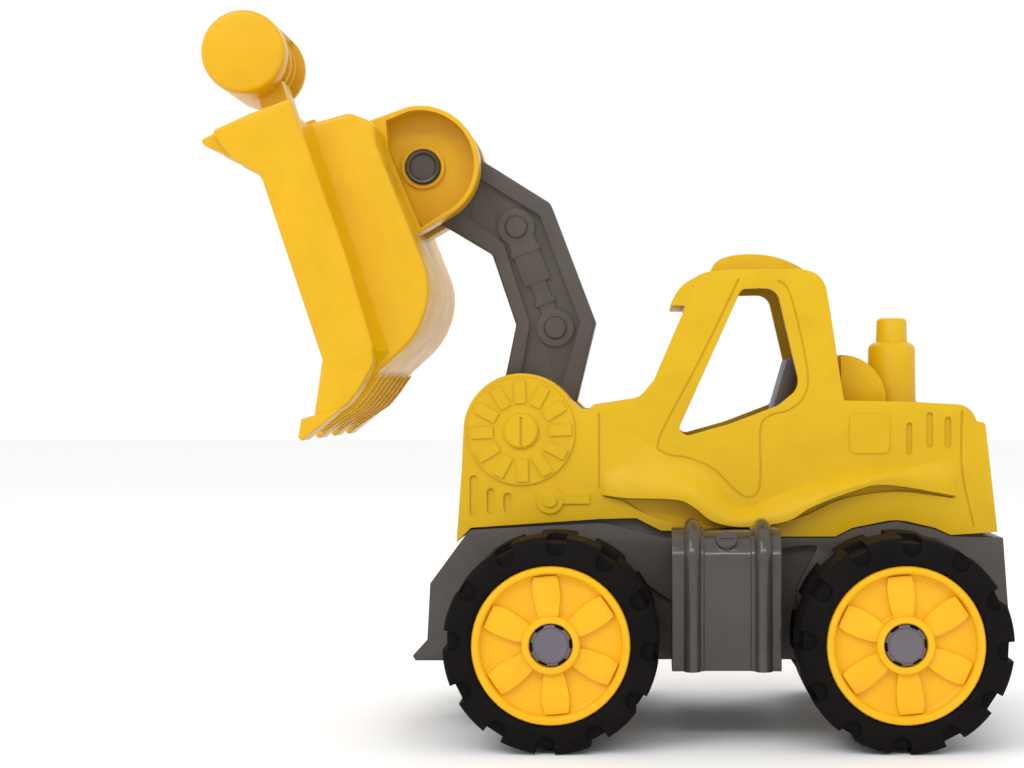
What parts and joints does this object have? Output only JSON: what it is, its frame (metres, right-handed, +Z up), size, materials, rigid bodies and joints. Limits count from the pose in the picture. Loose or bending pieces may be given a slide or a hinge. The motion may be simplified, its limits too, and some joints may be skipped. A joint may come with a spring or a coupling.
{
  "type": "toy wheel loader",
  "caption": "Toy wheel loader with free-rolling wheels, an open cab and a toothed bucket on a hinged central boom with a round grip.",
  "frame": {"origin": "on the ground under the middle of the box around the toy, with the boom raised", "axes": "+X to the rear, away from the bucket; +Y to the right as a driver facing the bucket would sit; +Z up"},
  "size_m": [0.2776, 0.143, 0.2484],
  "materials": {
    "body_yellow": "semi-matte moulded plastic, slightly rounded edges",
    "bucket_yellow": "semi-matte moulded plastic",
    "rim_yellow": "semi-matte moulded plastic, warmer yellow",
    "grey_plastic": "warm dark grey moulded plastic",
    "step_grey": "the same grey, glossy",
    "tyre_black": "matte black",
    "cap_grey": "smooth lilac-grey",
    "steel": "zinc-plated"
  },
  "bodies": {
    "root": {"body_shell": "body_yellow", "exhaust_stack": "body_yellow", "air_filter_drum": "body_yellow", "boom_pivot_pin": "body_yellow", "chassis_frame": "grey_plastic", "driver_seat": "grey_plastic", "side_step_left": "step_grey", "side_step_right": "step_grey", "front_axle": "steel", "rear_axle": "steel", "chassis_screw_1": "steel", "chassis_screw_2": "steel", "chassis_screw_3": "steel", "chassis_screw_4": "steel"},
    "boom": {"boom_left_shell": "grey_plastic", "boom_right_shell": "grey_plastic", "boom_screw_1": "grey_plastic", "boom_screw_2": "grey_plastic"},
    "bucket_pin": {"bucket_pivot_pin": "grey_plastic"},
    "bucket": {"bucket_shell": "bucket_yellow", "bucket_grip": "bucket_yellow"},
    "front_right_wheel": {"front_right_tyre": "tyre_black", "front_right_rim": "rim_yellow", "front_right_hub_cap": "cap_grey"},
    "front_left_wheel": {"front_left_tyre": "tyre_black", "front_left_rim": "rim_yellow", "front_left_hub_cap": "cap_grey"},
    "rear_right_wheel": {"rear_right_tyre": "tyre_black", "rear_right_rim": "rim_yellow", "rear_right_hub_cap": "cap_grey"},
    "rear_left_wheel": {"rear_left_tyre": "tyre_black", "rear_left_rim": "rim_yellow", "rear_left_hub_cap": "cap_grey"}
  },
  "joints": [
    {"name": "boom_lift", "type": "hinge", "parent": "root", "child": "boom", "pos_m": [-0.0278, 0, 0.103], "axis": [0, 1, 0], "range_deg": [-102.5, 0]},
    {"name": "bucket_carry", "type": "hinge", "parent": "boom", "child": "bucket_pin", "pos_m": [-0.0634, 0, 0.1953], "axis": [0, 1, 0], "range_deg": [0, 72]},
    {"name": "bucket_tilt", "type": "hinge", "parent": "bucket_pin", "child": "bucket", "pos_m": [-0.0634, 0, 0.1953], "axis": [0, 1, 0], "range_deg": [-15, 73]},
    {"name": "front_right_roll", "type": "hinge", "parent": "root", "child": "front_right_wheel", "pos_m": [-0.0157, 0.0515, 0.035], "axis": [0, 1, 0], "continuous": true},
    {"name": "front_left_roll", "type": "hinge", "parent": "root", "child": "front_left_wheel", "pos_m": [-0.0157, -0.0515, 0.035], "axis": [0, 1, 0], "continuous": true},
    {"name": "rear_right_roll", "type": "hinge", "parent": "root", "child": "rear_right_wheel", "pos_m": [0.0985, 0.0515, 0.035], "axis": [0, 1, 0], "continuous": true},
    {"name": "rear_left_roll", "type": "hinge", "parent": "root", "child": "rear_left_wheel", "pos_m": [0.0985, -0.0515, 0.035], "axis": [0, 1, 0], "continuous": true}
  ],
  "couplings": [
    {"joint": "bucket_carry", "follows": "boom_lift", "ratio": -0.7}
  ]
}
